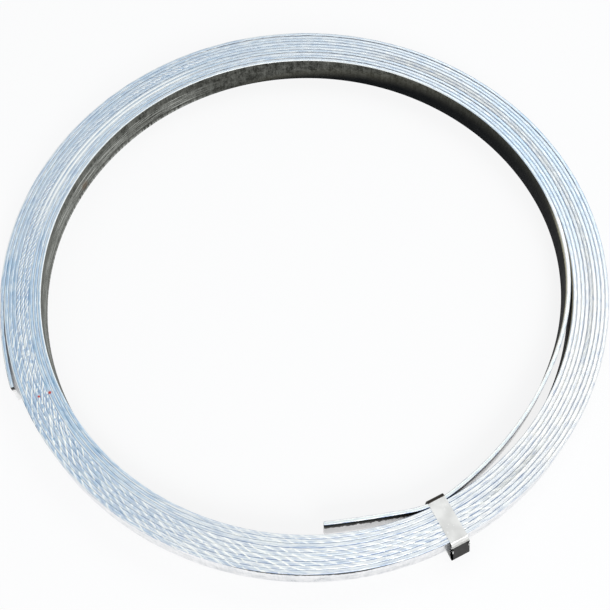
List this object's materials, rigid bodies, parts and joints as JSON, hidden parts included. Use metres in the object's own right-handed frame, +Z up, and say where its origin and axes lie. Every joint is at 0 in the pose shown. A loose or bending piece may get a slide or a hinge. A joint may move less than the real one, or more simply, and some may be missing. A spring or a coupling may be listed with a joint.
{
  "type": "galvanized earthing strip coil",
  "caption": "Flat galvanised steel strip wound into a low ring-shaped coil, lying flat, with a loose inner end and a crimped strapping band round the pack.",
  "frame": {"origin": "on the coil's axis, at floor level", "axes": "+Z up, along the coil's axis; the loose inner end is towards -Y, and the strap is 64 degrees from +X towards -Y"},
  "size_m": [0.5651, 0.5628, 0.031],
  "materials": {
    "galvanised_strip": "hot-dip galvanised, bright zinc on the narrow edges, duller grey on the flat sides",
    "steel_strap": "zinc-coated strapping, satin",
    "sheet_seal": "dark, lightly oiled sheet steel"
  },
  "bodies": {
    "root": {"strip_coil": "galvanised_strip", "strap": "steel_strap", "strap_seal": "sheet_seal"}
  },
  "joints": []
}
